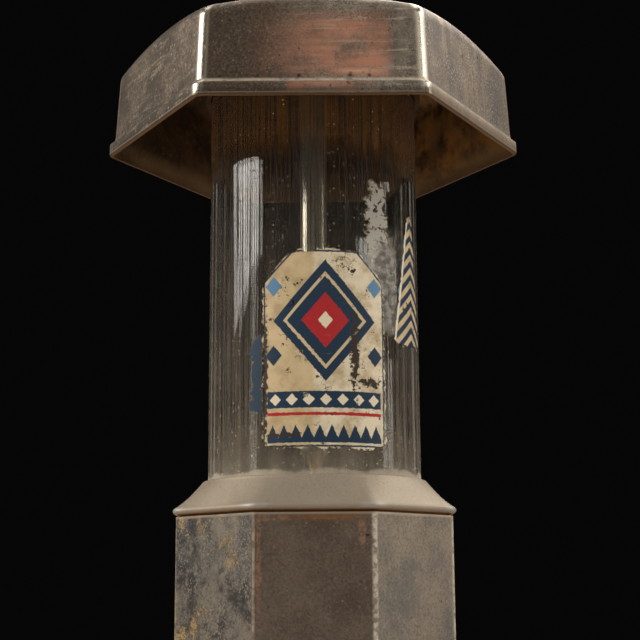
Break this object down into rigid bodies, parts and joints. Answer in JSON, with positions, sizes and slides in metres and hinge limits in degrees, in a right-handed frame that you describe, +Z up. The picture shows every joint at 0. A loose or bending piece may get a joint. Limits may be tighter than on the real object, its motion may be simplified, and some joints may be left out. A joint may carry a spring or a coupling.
{
  "type": "lighter fluid vending machine",
  "caption": "Counter-top coin-operated lighter fluid dispenser: hexagonal domed canopy over a glass reservoir on an octagonal plated body with lever, spout and locked coin drawer.",
  "frame": {"origin": "on the counter, under the middle of the body", "axes": "+Z up, the spout and coin slot face -Y, the lever is on +X, the coin drawer opens towards +Y"},
  "size_m": [0.2038, 0.1778, 0.4932],
  "materials": {
    "worn_nickel": "worn nickel plate with copper showing, pitted",
    "satin_nickel": "satin nickel plate, dulled",
    "brass": "machined",
    "steel": "zinc plated",
    "dark_steel": "blackened",
    "rubber": "matt",
    "cork": "cork composition",
    "clear_glass": "clear, dusty",
    "bakelite": "polished moulding"
  },
  "bodies": {
    "machine": {"rubber_feet": "rubber", "base_plate": "dark_steel", "base_screws": "steel", "plinth": "worn_nickel", "body_shell": "worn_nickel", "deck_plate": "steel", "deck_screws": "steel", "shoulder_cap": "satin_nickel", "reservoir_floor": "brass", "lower_gasket": "cork", "glass_cylinder": "clear_glass", "upper_gasket": "cork", "glass_head": "brass", "canopy": "worn_nickel", "neck_ring": "worn_nickel", "tie_bridge": "brass", "centre_tube": "worn_nickel", "tube_nut": "steel", "feed_pipe": "brass", "valve_body": "brass", "valve_cover": "brass", "valve_screws": "steel", "gland_nut": "brass", "outlet_pipe": "brass", "spout": "worn_nickel", "spout_screws": "steel", "coin_plate": "worn_nickel", "coin_plate_screws": "steel", "coin_chute": "steel", "mechanism_bracket": "steel", "shaft_bushing": "brass", "bushing_nut": "brass", "pawl_pin": "steel", "pawl_spring": "dark_steel", "return_spring": "dark_steel", "drawer_runners": "steel"},
    "lever": {"lever_shaft": "steel", "valve_plug": "brass", "coin_wheel": "steel", "click_wheel": "steel", "spring_collar": "steel", "lever_arm": "worn_nickel", "lever_knob": "bakelite", "lever_screw": "steel"},
    "pawl": {"click_pawl": "steel"},
    "cash_drawer": {"drawer_box": "steel", "drawer_front": "worn_nickel", "drawer_screws": "steel", "lock_barrel": "worn_nickel", "lock_nut": "steel"},
    "lock": {"lock_plug": "brass", "lock_cam": "steel"},
    "filler_cap": {"cap_shell": "worn_nickel", "cap_gasket": "cork", "cap_knob": "bakelite"}
  },
  "joints": [
    {"name": "lever_turn", "type": "hinge", "parent": "machine", "child": "lever", "pos_m": [0, 0, 0.1], "axis": [1, 0, 0], "range_deg": [0, 72], "stiffness_Nm_per_rad": 0.2, "springref_deg": -45.84, "deforming": ["return_spring"]},
    {"name": "pawl_rock", "type": "hinge", "parent": "machine", "child": "pawl", "pos_m": [0.032, -0.00406, 0.12882], "axis": [1, 0, 0], "range_deg": [-6, 10], "stiffness_Nm_per_rad": 0.05, "deforming": ["pawl_spring"]},
    {"name": "drawer_slide", "type": "slide", "parent": "machine", "child": "cash_drawer", "axis": [0, 1, 0], "range_m": [0, 0.085]},
    {"name": "lock_turn", "type": "hinge", "parent": "cash_drawer", "child": "lock", "pos_m": [0, 0.06, 0.06], "axis": [0, 1, 0], "range_deg": [0, 90]},
    {"name": "cap_lift", "type": "slide", "parent": "machine", "child": "filler_cap", "axis": [0, 0, 1], "range_m": [0, 0.08]}
  ]
}
